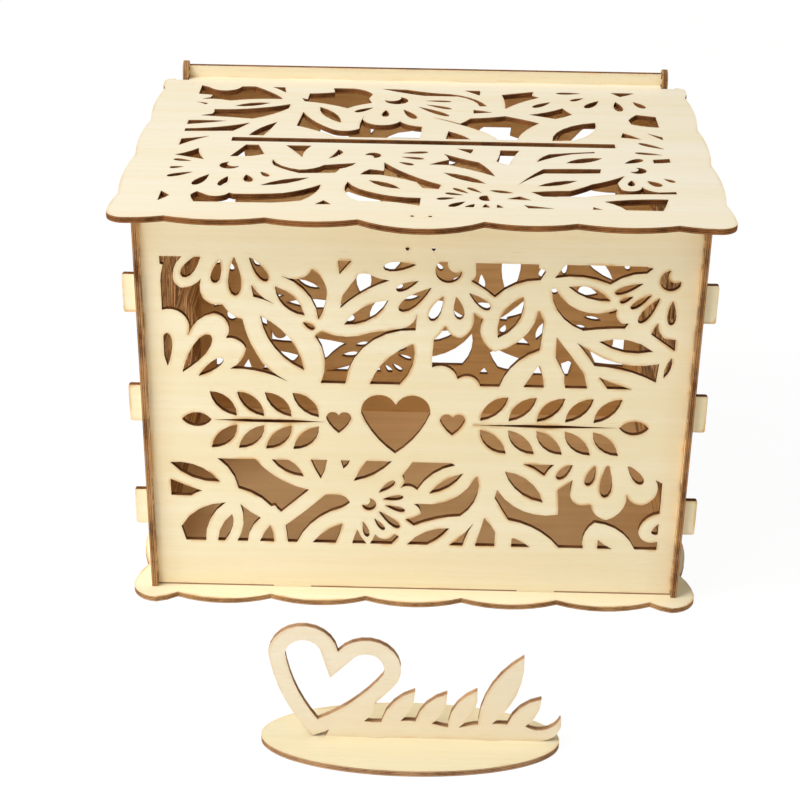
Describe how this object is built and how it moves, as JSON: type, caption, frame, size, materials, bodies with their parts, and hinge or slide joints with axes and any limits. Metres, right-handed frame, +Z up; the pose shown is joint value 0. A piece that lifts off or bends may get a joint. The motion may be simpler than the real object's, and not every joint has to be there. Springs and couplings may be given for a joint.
{
  "type": "wedding card box",
  "caption": "Flat-pack plywood card box with pierced floral lattice walls, a scalloped hinged lid with a card slot, and a small free-standing table sign.",
  "frame": {"origin": "centre of the box's underside, on the table", "axes": "+Z up, -Y towards the front with the ornament band, +X to the right seen from the front"},
  "size_m": [0.3, 0.3727, 0.2298],
  "materials": {
    "bottom_panel_ply": "raw birch plywood, laser cut edges",
    "front_panel_ply": "raw birch plywood, laser cut edges",
    "back_panel_ply": "raw birch plywood, laser cut edges",
    "left_side_panel_ply": "raw birch plywood, laser cut edges",
    "right_side_panel_ply": "raw birch plywood, laser cut edges",
    "lid_panel_ply": "raw birch plywood, laser cut edges",
    "hinge_rail_ply": "raw birch plywood, laser cut edges",
    "sign_foot_ply": "raw birch plywood, laser cut edges",
    "sign_vine_ply": "raw birch plywood, laser cut edges"
  },
  "bodies": {
    "box": {"bottom_panel": "bottom_panel_ply", "front_panel": "front_panel_ply", "back_panel": "back_panel_ply", "left_side_panel": "left_side_panel_ply", "right_side_panel": "right_side_panel_ply"},
    "lid": {"lid_panel": "lid_panel_ply", "hinge_rail": "hinge_rail_ply"},
    "sign": {"sign_foot": "sign_foot_ply", "sign_vine": "sign_vine_ply"}
  },
  "joints": [
    {"name": "lid_hinge", "type": "hinge", "parent": "box", "child": "lid", "pos_m": [0, 0.1002, 0.2233], "axis": [-1, 0, 0], "range_deg": [0, 230]},
    {"name": "sign_lift", "type": "slide", "parent": "box", "child": "sign", "axis": [0, 0, 1], "range_m": [0, 0.15]}
  ]
}
